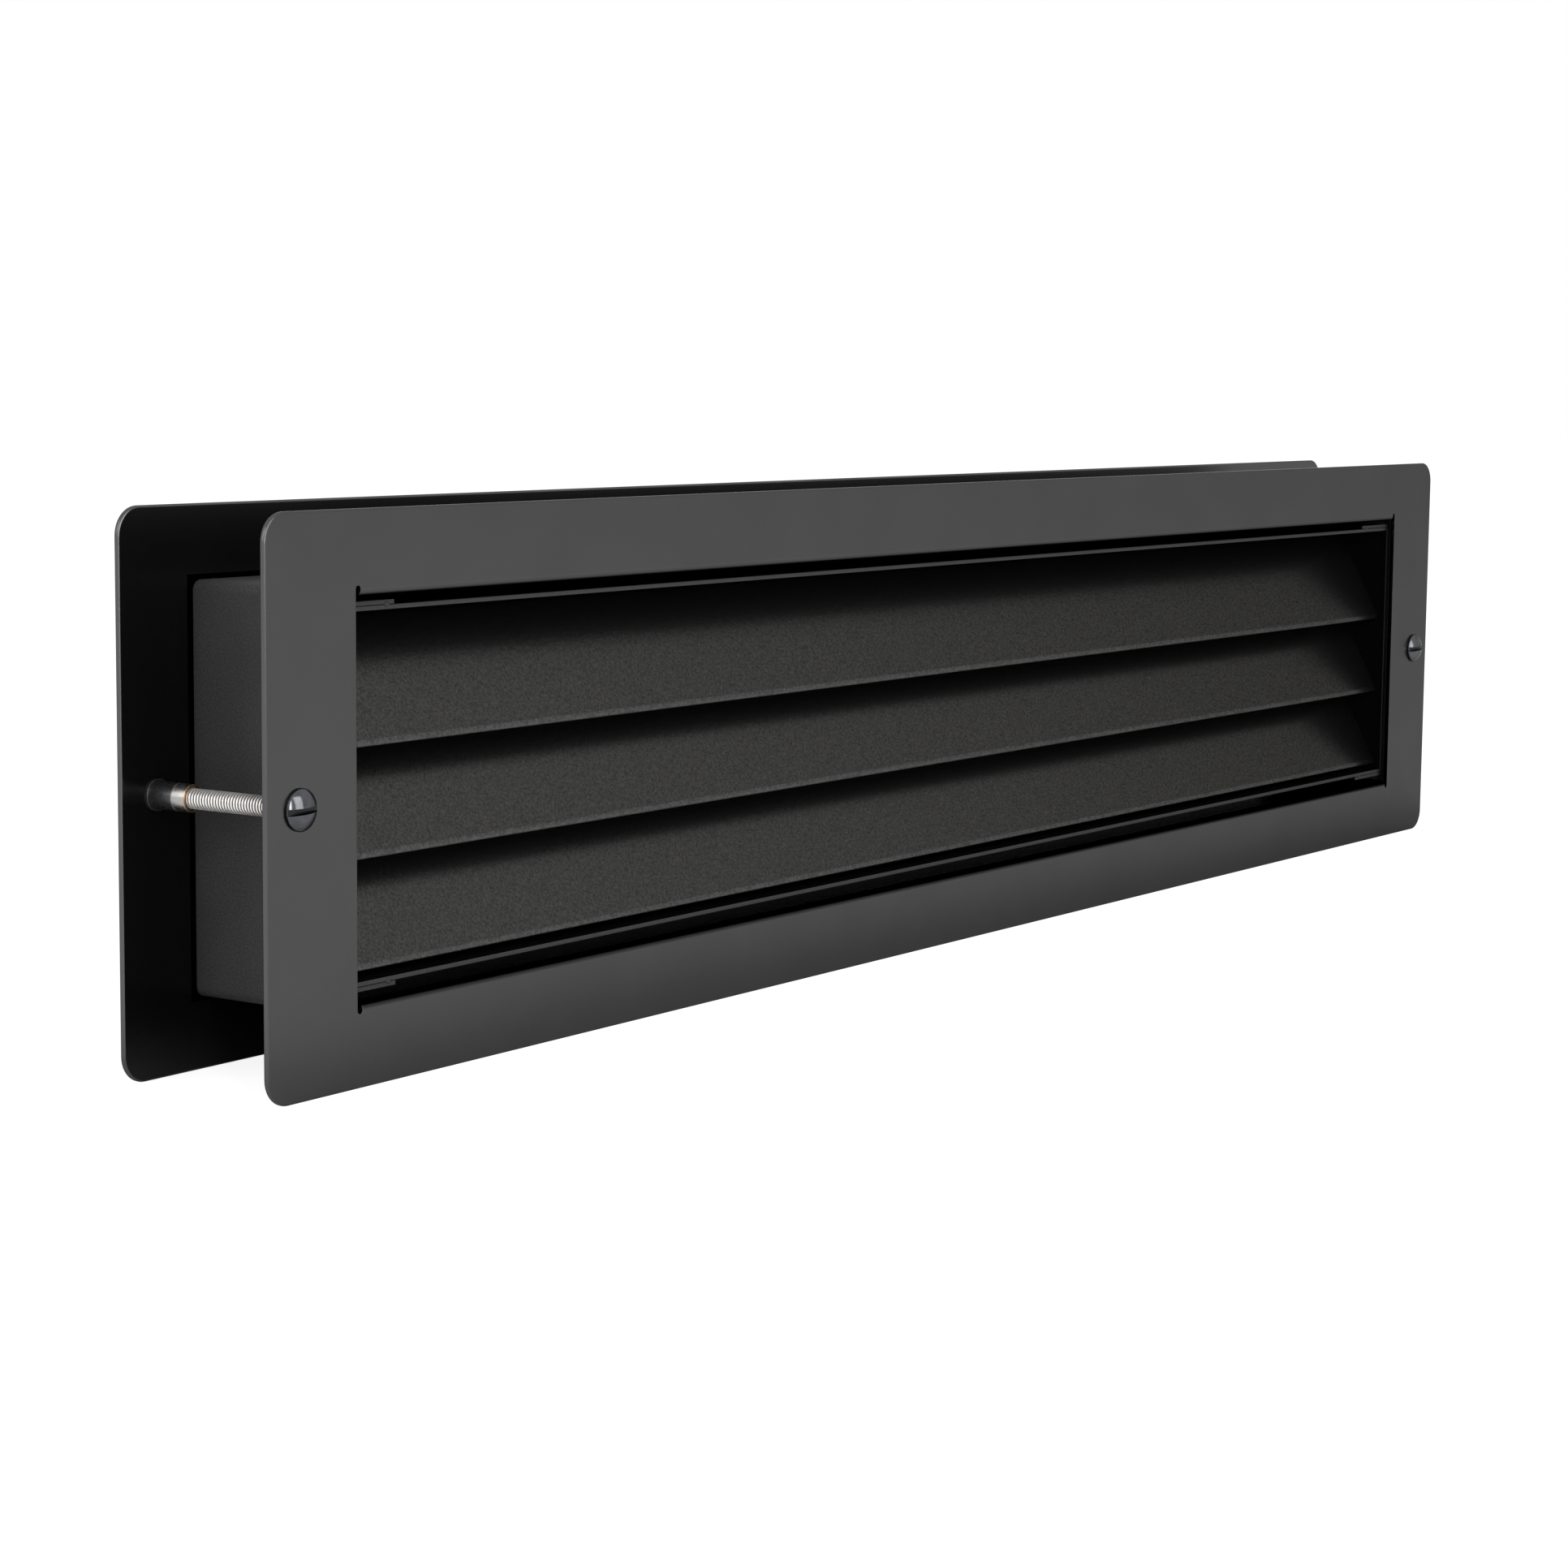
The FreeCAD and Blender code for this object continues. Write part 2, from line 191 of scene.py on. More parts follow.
# Floor: size of a patch of tone, its two tones, its roughness and the white that it shows
FLOOR_PATCH = 0.4
FLOOR_DARK = (0.86, 0.86, 0.86)
FLOOR_LIGHT = (0.9, 0.9, 0.9)
FLOOR_ROUGHNESS = 0.9
FLOOR_GLOW = 1.45

# Camera: place, turn in degrees, and width of its sensor in millimetres
CAMERA_PLACE = (-0.7107, -0.4455, 0.0811)
CAMERA_TURN = (83.154, -0.573, -55.589)
SENSOR_WIDTH = 36.0

# Sockets of a mixing node that take and give colours
MIX_FIRST = 6
MIX_SECOND = 7
MIX_RESULT = 2


# Settings that a user may change


def length_property(name, description, default):
    """Setting for a small length, in metres."""
    return FloatProperty(
        name=name, description=description, default=default, min=0.0, precision=6, unit="LENGTH"
    )


def share_property(name, description, default):
    """Setting from 0 to 1."""
    return FloatProperty(
        name=name, description=description, default=default, min=0.0, max=1.0, subtype="FACTOR"
    )


def colour_property(name, description, default):
    """Setting for a colour, in linear light."""
    return FloatVectorProperty(
        name=name, description=description, default=default, min=0.0, max=1.0, subtype="COLOR"
    )


def power_property(name, description, default):
    """Setting for a lamp's power, in watts."""
    return FloatProperty(
        name=name, description=description, default=default, min=0.0, unit="POWER"
    )


class PlateCoat(bpy.types.PropertyGroup):
    """Smooth satin powder coat of the cover plates."""

    colour: colour_property("Colour", "Tone of the coat", (0.071, 0.071, 0.0705))
    # The lighter tone on the cut edges is a painted highlight
    edge_highlight_colour: colour_property("Edge colour", "Tone on the cut edges", (0.093, 0.094, 0.098))
    # The near-black tone on the inner faces and in the window folds is painted shade
    inside_shade_colour: colour_property("Inside colour", "Tone on inner faces", (0.003, 0.0028, 0.0027))
    roughness: share_property("Roughness", "How far the coat spreads a reflection", 0.23)
    metal: share_property("Metal", "Share that reflects as dark metal does", 1.0)
    shine: share_property("Shine", "Strength of the gloss off metal", 0.35)
    glance: share_property("Glance", "Strength of the reflection along the surface", 0.52)
    tone_spread: share_property("Tone spread", "How much the tone wanders", 0.03)
    speckle: share_property("Speckle", "How much the tone follows the grain", 0.03)
    wave_size: length_property("Wave size", "Width of the coat's slow waves", 3.0 * MM)
    wave_height: length_property("Wave height", "Height of the slow waves", 0.004 * MM)
    grain_size: length_property("Grain size", "Width of one grain", 0.35 * MM)
    grain_height: length_property("Grain height", "Height of one grain", 0.003 * MM)


class SlatCoat(bpy.types.PropertyGroup):
    """Grained coat of the slats."""

    colour: colour_property("Colour", "Tone of the coat", (0.0505, 0.0495, 0.0485))
    # The lighter tone on the lips is a painted highlight
    edge_highlight_colour: colour_property("Edge colour", "Tone on the lips", (0.069, 0.069, 0.068))
    roughness: share_property("Roughness", "How far the coat spreads a reflection", 0.25)
    metal: share_property("Metal", "Share that reflects as dark metal does", 0.95)
    shine: share_property("Shine", "Strength of the gloss off metal", 0.35)
    glance: share_property("Glance", "Strength of the reflection along the surface", 0.35)
    tone_spread: share_property("Tone spread", "How much the tone wanders", 0.0)
    speckle: share_property("Speckle", "How much the tone follows the grain", 0.36)
    wave_size: length_property("Wave size", "Width of the coat's slow waves", 2.2 * MM)
    wave_height: length_property("Wave height", "Height of the slow waves", 0.006 * MM)
    grain_size: length_property("Grain size", "Width of one grain", 0.55 * MM)
    grain_height: length_property("Grain height", "Height of one grain", 0.008 * MM)


class FrameCoat(bpy.types.PropertyGroup):
    """Matt black coat of the rails and end walls, whose near-black tone and lack of gloss are
    painted shade.
    """

    # The near-black tone is painted shade for the shaded inside of the vent
    colour: colour_property("Colour", "Tone of the coat", (0.0025, 0.0025, 0.0025))
    # The lighter tone on the cut edges is a painted highlight
    edge_highlight_colour: colour_property("Edge colour", "Tone on the cut edges", (0.042, 0.042, 0.041))
    roughness: share_property("Roughness", "How far the coat spreads a reflection", 0.60)
    metal: share_property("Metal", "Share that reflects as dark metal does", 0.0)
    shine: share_property("Shine", "Strength of the gloss off metal", 0.0)
    glance: share_property("Glance", "Strength of the reflection along the surface", 0.25)
    tone_spread: share_property("Tone spread", "How much the tone wanders", 0.04)
    speckle: share_property("Speckle", "How much the tone follows the grain", 0.10)
    wave_size: length_property("Wave size", "Width of the coat's slow waves", 2.2 * MM)
    wave_height: length_property("Wave height", "Height of the slow waves", 0.010 * MM)
    grain_size: length_property("Grain size", "Width of one grain", 0.55 * MM)
    grain_height: length_property("Grain height", "Height of one grain", 0.012 * MM)


class SleeveCoat(bpy.types.PropertyGroup):
    """Dull coat of the sleeve."""

    colour: colour_property("Colour", "Tone of the coat", (0.035, 0.035, 0.035))
    roughness: share_property("Roughness", "How far the coat spreads a reflection", 0.55)
    metal: share_property("Metal", "Share that reflects as dark metal does", 0.0)
    shine: share_property("Shine", "Strength of the gloss off metal", 0.35)
    glance: share_property("Glance", "Strength of the reflection along the surface", 0.5)
    tone_spread: share_property("Tone spread", "How much the tone wanders", 0.08)
    speckle: share_property("Speckle", "How much the tone follows the grain", 0.30)
    wave_size: length_property("Wave size", "Width of the coat's slow waves", 3.0 * MM)
    wave_height: length_property("Wave height", "Height of the slow waves", 0.010 * MM)
    grain_size: length_property("Grain size", "Width of one grain", 0.4 * MM)
    grain_height: length_property("Grain height", "Height of one grain", 0.020 * MM)


class Fasteners(bpy.types.PropertyGroup):
    """Slotted screws and the barrel nuts that take them."""

    thread_diameter: length_property("Thread diameter", "Diameter over the crests", 3.9 * MM)
    pitch: length_property("Thread pitch", "Length of one turn of the thread", 0.7 * MM)
    thread_depth: length_property("Thread depth", "Depth from crest to root", 0.38 * MM)
    tip_taper: length_property("Tip taper", "Length over which the thread runs out", 0.6 * MM)
    turn_steps: IntProperty(name="Turn steps", description="Facets in a turn", default=56, min=12)
    head_edge: length_property("Head edge", "Height of the head's upright edge", 0.5 * MM)
    slot_width: length_property("Slot width", "Width of the driver slot", 1.2 * MM)
    slot_depth: length_property("Slot depth", "Depth of the driver slot", 1.75 * MM)
    slot_tilt: FloatProperty(
        name="Slot tilt", description="Lean of the slot", default=math.radians(3.8), subtype="ANGLE"
    )
    edge_round: length_property("Edge round", "Radius on the head's edges", 0.10 * MM)
    barrel_diameter: length_property("Barrel diameter", "Diameter of the nut's barrel", 5.3 * MM)
    shoulder_diameter: length_property("Shoulder diameter", "Diameter of its shoulder", 6.2 * MM)
    shoulder_length: length_property("Shoulder length", "Shoulder seen past the plate", 0.8 * MM)
    lip_round: length_property("Lip round", "Radius on the mouth and the shoulder", 0.14 * MM)
    bore_diameter: length_property("Bore diameter", "Diameter of the nut's bore", 4.0 * MM)
    countersink: length_property("Countersink", "Width of the slope into the bore", 0.3 * MM)
    bore_web: length_property("Bore web", "Metal left behind the bore", 0.3 * MM)
    bare_length: length_property("Bare length", "Barrel left bare at its mouth", 3.3 * MM)
    head_colour: colour_property("Head colour", "Blackened steel", (0.088, 0.090, 0.096))
    dip_colour: colour_property("Dip colour", "Black on the nut's barrel", (0.012, 0.012, 0.013))
    steel_colour: colour_property("Steel colour", "Bright steel", (0.48, 0.465, 0.45))
    rim_colour: colour_property("Rim colour", "Bronze tint at the nut's mouth", (0.50, 0.32, 0.19))


class TackWelds(bpy.types.PropertyGroup):
    """Painted spots of weld on the cassette's tabs."""

    length: length_property("Length", "Length of a spot along the edge", 1.3 * MM)
    height: length_property("Height", "How far a spot stands out", 0.32 * MM)
    roughness: share_property("Unevenness", "How uneven a spot is", 0.22)


class Stage(bpy.types.PropertyGroup):
    """Pale floor, lamps, surroundings and camera."""

    floor_size: FloatProperty(name="Floor size", description="Side", default=12.0, unit="LENGTH")
    floor_whiteness: share_property("Floor whiteness", "Share that is plain white", 0.6)
    floor_clear_at: length_property("Floor clear at", "Where mirrors see it plain white", 0.085)
    ambient: share_property("Ambient", "Light from all round", 0.58)
    key_power: power_property("Key lamp", "Power of the lamp in front", 13.0)
    side_power: power_property("Side lamp", "Power of the lamp on the left", 10.0)
    edge_power: power_property("Edge lamp", "Power of the narrow lamp", 7.0)
    focal_length: FloatProperty(
        name="Lens", description="Focal length", default=80.41, min=1.0, unit="CAMERA"
    )


class VentGrilleSettings(bpy.types.PropertyGroup):
    """Every setting of the vent."""

    plate_coat: PointerProperty(name="Cover plates", description="Their coat", type=PlateCoat)
    slat_coat: PointerProperty(name="Slats", description="Their coat", type=SlatCoat)
    frame_coat: PointerProperty(
        name="Rails and end walls", description="Their coat", type=FrameCoat
    )
    sleeve_coat: PointerProperty(name="Sleeve", description="Its coat", type=SleeveCoat)
    fasteners: PointerProperty(
        name="Screws and nuts", description="Their sizes and colours", type=Fasteners
    )
    tack_welds: PointerProperty(name="Tack welds", description="Their sizes", type=TackWelds)
    stage: PointerProperty(name="Stage", description="Floor, lamps and lens", type=Stage)


# Parts of the materials


def fill_inputs(material, node, inputs):
    """Puts values or other nodes' outputs on a node's inputs."""
    for name, value in inputs.items():
        if isinstance(value, bpy.types.NodeSocket):
            material.node_tree.links.new(value, node.inputs[name])
        else:
            node.inputs[name].default_value = value


def add_node(material, kind, settings=None, inputs=None):
    """Node with its settings and its inputs."""
    made = material.node_tree.nodes.new(kind)
    for name, value in (settings or {}).items():
        setattr(made, name, value)
    fill_inputs(material, made, inputs or {})
    return made


def new_material(name):
    """Empty procedural material, its shader and the place of each point on the vent."""
    material = bpy.data.materials.new(name)
    material.use_nodes = True
    shader = material.node_tree.nodes["Principled BSDF"]
    place = add_node(material, "ShaderNodeTexCoord").outputs["Object"]
    return material, shader, place


def noise(material, place, size, detail=2.0, roughness=0.5, output="Fac"):
    """Noise whose features are about one size across."""
    made = add_node(
        material,
        "ShaderNodeTexNoise",
        inputs={"Vector": place, "Scale": 1.0 / size, "Detail": detail, "Roughness": roughness},
    )
    return made.outputs[output]


def marked(material, name):
    """Mark that the mesh carries under a name, from 0 to 1."""
    return add_node(material, "ShaderNodeAttribute", {"attribute_name": name}).outputs["Fac"]


def combine(material, operation, first, second):
    """Sum, product or test of two values or nodes' outputs."""
    made = add_node(material, "ShaderNodeMath", {"operation": operation}, {0: first, 1: second})
    return made.outputs["Value"]


def ramp(material, value, low, high, start=0.0, end=1.0, easing="LINEAR"):
    """Goes from a start to an end while a value goes from low to high."""
    made = add_node(
        material,
        "ShaderNodeMapRange",
        {"interpolation_type": easing},
        {"Value": value, "From Min": low, "From Max": high, "To Min": start, "To Max": end},
    )
    return made.outputs["Result"]


def eased(material, value, low, high, start=0.0, end=1.0):
    """A ramp that is gentle at both ends."""
    return ramp(material, value, low, high, start, end, "SMOOTHSTEP")


def spread(material, value, low, high):
    """The middle of a noise's range, eased between two values."""
    return eased(material, value, *NOISE_MIDDLE, low, high)


def along(material, place, axis):
    """Place of a point along one axis."""
    return add_node(material, "ShaderNodeSeparateXYZ", inputs={"Vector": place}).outputs[axis]


def away_from(material, value, middle):
    """Size of the difference between a value and a middle."""
    above = combine(material, "SUBTRACT", value, middle)
    below = combine(material, "SUBTRACT", middle, value)
    return combine(material, "MAXIMUM", above, below)


def distance_from(material, place, axis, middle):
    """How far a point lies from a place along one axis."""
    return away_from(material, along(material, place, axis), middle)


def scaled(colour, factor):
    """Colour made lighter or darker."""
    return tuple(channel * factor for channel in colour)


def by_factor(material, tone, factor):
    """Colour made lighter or darker by a node's output."""
    made = add_node(
        material, "ShaderNodeVectorMath", {"operation": "SCALE"}, {0: tone, "Scale": factor}
    )
    return made.outputs["Vector"]


def mix_colours(material, share, first, second):
    """Colour that goes from the first to the second."""
    inputs = {"Factor": share}
    for number, colour in ((MIX_FIRST, first), (MIX_SECOND, second)):
        is_output = isinstance(colour, bpy.types.NodeSocket)
        inputs[number] = colour if is_output else (*colour, 1.0)
    made = add_node(material, "ShaderNodeMix", {"data_type": "RGBA"}, inputs)
    return made.outputs[MIX_RESULT]


def mottled(material, patches, colour, dark, light):
    """Colour that a noise moves between two shares of itself."""
    share = spread(material, patches, 0.0, 1.0)
    return mix_colours(material, share, scaled(colour, dark), scaled(colour, light))


def bump(material, height, distance, normal=None):
    """Surface bumps of a real height."""
    inputs = {"Height": height, "Distance": distance, "Strength": 1.0}
    if normal is not None:
        inputs["Normal"] = normal
    return add_node(material, "ShaderNodeBump", inputs=inputs).outputs["Normal"]


def soft_edges(material):
    """Normals that round the sheet's cut edges."""
    made = add_node(
        material, "ShaderNodeBevel", {"samples": CUT_EDGE_SAMPLES}, {"Radius": CUT_EDGE_ROUND}
    )
    return made.outputs["Normal"]


# Finishes


def powder_coat(name, coat, highlight_face=None, seam=None, window_face=None):
    """Powder coat with slow waves, grain and an uneven tone, and where asked painted highlights
    on cut edges and painted shade in seams, window folds and inner faces.
    """
    material, shader, place = new_material(name)
    glance = (coat.glance, coat.glance, coat.glance)
    constants = {
        "Roughness": coat.roughness,
        "Metallic": coat.metal,
        "Specular IOR Level": coat.shine,
        "Specular Tint": (*glance, 1.0),
    }
    fill_inputs(material, shader, constants)

    patches = noise(material, place, TONE_PATCH, detail=1.0)
    waves = noise(material, place, coat.wave_size)
    grain = noise(material, place, coat.grain_size, detail=3.0, roughness=0.6)
    tone = mottled(material, patches, coat.colour, 1 - coat.tone_spread, 1 + coat.tone_spread)
    # Painted highlight: a lighter tone on the cut edges
    if highlight_face is not None:
        tone = painted_edge_highlight(material, place, tone, coat.edge_highlight_colour, highlight_face)
    # Painted shade in the line between two sheets
    if seam is not None:
        tone = painted_seam_shade(material, place, tone, seam)
    # Painted shade in a plate's window folds and on its inner face, with less glance and metal
    # there
    if window_face is not None:
        tone, fold, flat_inside = plate_highlight_and_shade(material, place, tone, coat, window_face)
        fold_glance = mix_colours(material, fold, glance, scaled(glance, FOLD_GLANCE))
        metal = combine(material, "SUBTRACT", coat.metal, flat_inside)
        fill_inputs(material, shader, {"Specular Tint": fold_glance, "Metallic": metal})
    tone = by_factor(material, tone, spread(material, grain, 1 - coat.speckle, 1 + coat.speckle))

    normal = soft_edges(material)
    normal = bump(material, waves, coat.wave_height, normal)
    normal = bump(material, grain, coat.grain_height, normal)
    fill_inputs(material, shader, {"Base Color": tone, "Normal": normal})
    return material


def painted_edge_highlight(material, place, tone, edge_highlight_colour, highlight_face):
    """Painted highlight: colour that turns lighter where sheet ends towards the vent's front
    and back.
    """
    away = distance_from(material, place, "Y", 0.0)
    share = eased(material, away, highlight_face - EDGE_HIGHLIGHT_START, highlight_face - EDGE_HIGHLIGHT_FULL)
    return mix_colours(material, share, tone, edge_highlight_colour)


def painted_seam_shade(material, place, tone, height):
    """Colour with a line of painted shade where one sheet lies on another, above and below
    the middle.
    """
    gap = away_from(material, distance_from(material, place, "Z", 0.0), height)
    return by_factor(material, tone, eased(material, gap, SEAM_HALF_WIDTH, SEAM_FADED, SEAM_SHADE_TONE))


def plate_highlight_and_shade(material, place, tone, coat, face):
    """Tone of a plate, with a painted highlight on its cut edges and painted shade in its window
    folds and on its inner face, and the shares of the shaded folds and of the flat inner face.
    """
    depth = distance_from(material, place, "Y", face)
    tone = mix_colours(material, eased(material, depth, *PLATE_EDGE_HIGHLIGHT_DEPTHS), tone, coat.edge_highlight_colour)
    window = window_share(material, place)
    fold = combine(material, "MULTIPLY", fold_share(material, place, depth), window)
    inner_face = combine(material, "GREATER_THAN", depth, PLATE_SHEET - FACE_MARGIN)
    inside = combine(material, "MAXIMUM", fold, inner_face)
    flat_inside = combine(material, "GREATER_THAN", inner_face, window)
    return mix_colours(material, inside, tone, coat.inside_shade_colour), fold, flat_inside


def window_share(material, place):
    """1 within the sleeve's outline, where a plate has its window and folds, 0 round it."""
    across, up = [
        combine(
            material,
            "LESS_THAN",
            distance_from(material, place, axis, 0.0),
            limit + WINDOW_MARGIN,
        )
        for axis, limit in (("X", SLEEVE_HIGH.x), ("Z", SLEEVE_HIGH.z))
    ]
    return combine(material, "MULTIPLY", across, up)


def fold_share(material, place, depth):
    """0 on a plate's face and 1 where its fold is fully in painted shade, which the lower fold
    is sooner.
    """
    up = along(material, place, "Z")
    half = SLEEVE_HIGH.z
    dark_at = eased(material, up, -half, half, LOW_FOLD_DEPTH, HIGH_FOLD_DEPTH)
    power = eased(material, up, -half, half, LOW_FOLD_POWER, HIGH_FOLD_POWER)
    return combine(material, "POWER", ramp(material, depth, 0.0, dark_at), power)


def blackened_steel(name, fasteners):
    """Glossy blackened steel with smudges and faint turning marks, and painted shade in its slot.
    """
    material, shader, place = new_material(name)
    colour = fasteners.head_colour
    smudges = noise(material, place, SMUDGE_SIZE, detail=4.0)
    marks = noise(material, place, TURNING_MARK_SIZE)
    tone = mottled(material, smudges, colour, *SMUDGE_TONES)
    # Painted shade in the driver slot, full on its walls and a little less on its floor
    in_slot = marked(material, "slot")
    finish = {
        "Base Color": mix_colours(material, in_slot, tone, scaled(colour, SLOT_SHADE_TONE)),
        "Roughness": spread(material, smudges, *SMUDGE_ROUGHNESS),
        "Normal": bump(material, marks, TURNING_MARK_HEIGHT),
        "Metallic": HEAD_METAL,
        "Specular Tint": HEAD_GLANCE,
    }
    fill_inputs(material, shader, finish)
    return material


def bright_thread(name, fasteners):
    """Rolled steel thread: a painted highlight on its crests, and painted shade in its roots."""
    material, shader, place = new_material(name)
    root_shade = scaled(fasteners.steel_colour, ROOT_SHADE_TONE)
    crest = scaled(fasteners.steel_colour, CREST_HIGHLIGHT_TONE)
    scuffs = noise(material, place, SCUFF_SIZE, detail=3.0)
    finish = {
        "Base Color": mix_colours(material, marked(material, "crest"), root_shade, crest),
        "Roughness": spread(material, scuffs, *THREAD_ROUGHNESS),
        "Metallic": THREAD_METAL,
    }
    fill_inputs(material, shader, finish)
    return material


def barrel_finish(name, fasteners):
    """Nickel barrel, bronze at its mouth and blackened from the bare stretch on."""
    material, shader, place = new_material(name)
    black = black_share(material, place, NUT_MOUTH + fasteners.bare_length)
    depth = along(material, place, "Y")
    rim_start = NUT_MOUTH + fasteners.lip_round
    past_rim = ramp(material, depth, rim_start, rim_start + fasteners.lip_round)
    nickel = scaled(fasteners.steel_colour, NICKEL_TONE)
    steel = mix_colours(material, past_rim, fasteners.rim_colour, nickel)
    streaks = noise(material, place, STREAK_SIZE, detail=3.0)
    finish = {
        "Base Color": mix_colours(material, black, steel, fasteners.dip_colour),
        "Metallic": ramp(material, black, 0.0, 1.0, 1.0, 0.0),
        "Roughness": spread(material, streaks, *BARREL_ROUGHNESS),
        "Specular IOR Level": BARREL_GLOSS,
    }
    fill_inputs(material, shader, finish)
    return material


def black_share(material, place, bare_end):
    """Share of the black on a barrel, which begins with a ragged edge where the steel ends."""
    ragged = add_node(
        material,
        "ShaderNodeVectorMath",
        {"operation": "MULTIPLY_ADD"},
        {0: noise(material, place, RAGGED_SIZE, output="Color"), 1: (0, RAGGED_REACH, 0), 2: place},
    ).outputs["Vector"]
    start, full = [bare_end + shift for shift in BLACK_EDGE]
    return ramp(material, along(material, ragged, "Y"), start, full)


def dress(names, material):
    """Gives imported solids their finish."""
    for name in names:
        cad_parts[name].material_slots[0].material = material


# Shapes of the screws and the nuts


def revolved(profile):
    """Closed surface turned about the Y axis from points of radius and depth."""
    shape = bmesh.new()
    turns = [2 * math.pi * step / ROUND_STEPS for step in range(ROUND_STEPS)]
    rings = []
    for radius, depth in profile:
        angles = turns if radius else turns[:1]
        places = [(radius * math.sin(turn), depth, radius * math.cos(turn)) for turn in angles]
        rings.append([shape.verts.new(place) for place in places])
    for ring, following in pairwise(rings):
        for step in range(ROUND_STEPS):
            after = (step + 1) % ROUND_STEPS
            corners = [ring[step % len(ring)], ring[after % len(ring)]]
            corners += [following[after % len(following)], following[step % len(following)]]
            # A ring of one vertex, on the axis, is a corner only once
            shape.faces.new(list(dict.fromkeys(corners)))
    bmesh.ops.recalc_face_normals(shape, faces=shape.faces)
    return shape


def arc(centre, radius, start, end, steps):
    """Points of radius and depth along an arc, with angles in degrees."""
    angles = [math.radians(start + (end - start) * step / steps) for step in range(steps + 1)]
    return [
        (centre[0] + radius * math.cos(angle), centre[1] + radius * math.sin(angle))
        for angle in angles
    ]


def head_profile(radius, height, fasteners):
    """Domed head above its seat at zero depth, from the crown out to the seat."""
    edge = fasteners.head_edge
    rounding = fasteners.edge_round
    dome_height = height - edge
    dome_radius = (radius ** 2 + dome_height ** 2) / (2 * dome_height)
    sweep = math.degrees(math.asin((radius - rounding) / dome_radius))
    dome = arc((0.0, height - dome_radius), dome_radius, 90, 90 - sweep, DOME_STEPS)
    dome[0] = (0.0, height)
    corner = [(radius, edge - rounding), (radius, rounding), (radius - rounding, 0.0)]
    return dome + corner


def slotted_head(radius, seat, crown, fasteners):
    """Domed head from its seat to its crown, two depths, with its driver slot."""
    height = abs(crown - seat)
    outwards = math.copysign(1.0, crown - seat)
    profile = head_profile(radius, height, fasteners)
    outline = [(reach, seat + outwards * rise) for reach, rise in profile] + [(0, seat)]
    return cut_slot(revolved(outline), crown, fasteners)


def cut_slot(shape, crown, fasteners):
    """Takes the driver slot out of a head whose crown is at a depth."""
    size = (SLOT_CUTTER_LENGTH, 2 * fasteners.slot_depth, fasteners.slot_width)
    place = Matrix.Translation((0, crown, 0)) @ Matrix.Diagonal((*size, 1.0))
    cutter = bmesh.new()
    bmesh.ops.create_cube(cutter, size=1.0, matrix=place)
    blank = object_from(shape, "blank")
    tool = object_from(cutter, "tool")
    cut = blank.modifiers.new("slot", "BOOLEAN")
    cut.operation = "DIFFERENCE"
    cut.solver = "EXACT"
    cut.object = tool
    soften = blank.modifiers.new("edges", "BEVEL")
    soften.width = fasteners.edge_round
    soften.segments = HEAD_EDGE_STEPS
    soften.limit_method = "ANGLE"
    soften.angle_limit = HEAD_EDGE_ANGLE
    finished = bpy.data.meshes.new_from_object(
        blank.evaluated_get(bpy.context.evaluated_depsgraph_get())
    )
    result = bmesh.new()
    result.from_mesh(finished)
    bpy.data.meshes.remove(finished)
    for spare in (blank, tool):
        bpy.data.meshes.remove(spare.data)
    mark_slot(result, crown, fasteners)
    return result


def mark_slot(shape, crown, fasteners):
    """Marks the walls and the floor of a head's driver slot for painted shade, the floor less."""
    mark = shape.faces.layers.float.new("slot")
    for face in shape.faces:
        middle = face.calc_center_median()
        beside = abs(middle.z) < fasteners.slot_width / 2 + HAIR
        below = abs(middle.y - crown) < fasteners.slot_depth + HAIR
        on_floor = abs(face.normal.y) > SLOT_FLOOR_NORMAL
        face[mark] = (SLOT_FLOOR_SHADE if on_floor else 1.0) if beside and below else 0.0


def barrel_profile(fasteners):
    """Barrel with its bore, rounded mouth and shoulder, up to the rear plate's outer face."""
    bore = fasteners.bore_diameter / 2
    barrel = fasteners.barrel_diameter / 2
    shoulder = fasteners.shoulder_diameter / 2
    lip = fasteners.lip_round
    countersink = fasteners.countersink
    bore_end = REAR_SEAT - fasteners.bore_web
    shoulder_start = REAR_INNER_FACE - fasteners.shoulder_length
    return [
        (0, bore_end),
        (bore, bore_end),
        (bore, NUT_MOUTH + countersink),
        (bore + countersink, NUT_MOUTH),
        *arc((barrel - lip, NUT_MOUTH + lip), lip, -90, 0, LIP_STEPS),
        (barrel, shoulder_start),
        *arc((shoulder - lip, shoulder_start + lip), lip, -90, 0, LIP_STEPS),
        (shoulder, REAR_SEAT),
        (0, REAR_SEAT),
    ]


def smooth_step(value, low, high):
    """Rises gently from 0 to 1 between two values."""
    share = min(1.0, max(0.0, (value - low) / (high - low)))
    return share * share * (3 - 2 * share)


def threaded_shank(start, end, fasteners):
    """Right-hand thread about the Y axis, tapered at its tip, with a mark for the painted
    highlight on its crests.
    """
    shape = bmesh.new()
    rows = thread_rows(shape, start, end, fasteners)
    # Each strip reaches to the first vertex of the row one turn later
    later_rows = rows[fasteners.turn_steps :]
    strips = [row + later[:1] for row, later in zip_longest(rows, later_rows, fillvalue=[])]
    for strip, following in pairwise(strips):
        for (near, far), (near_beside, far_beside) in zip(pairwise(strip), pairwise(following)):
            shape.faces.new((near, near_beside, far_beside, far))
    bmesh.ops.remove_doubles(shape, verts=shape.verts, dist=HAIR)
    bmesh.ops.dissolve_degenerate(shape, edges=shape.edges, dist=HAIR / 2)
    open_edges = [edge for edge in shape.edges if edge.is_boundary]
    bmesh.ops.holes_fill(shape, edges=open_edges, sides=0)
    bmesh.ops.recalc_face_normals(shape, faces=shape.faces)
    return shape


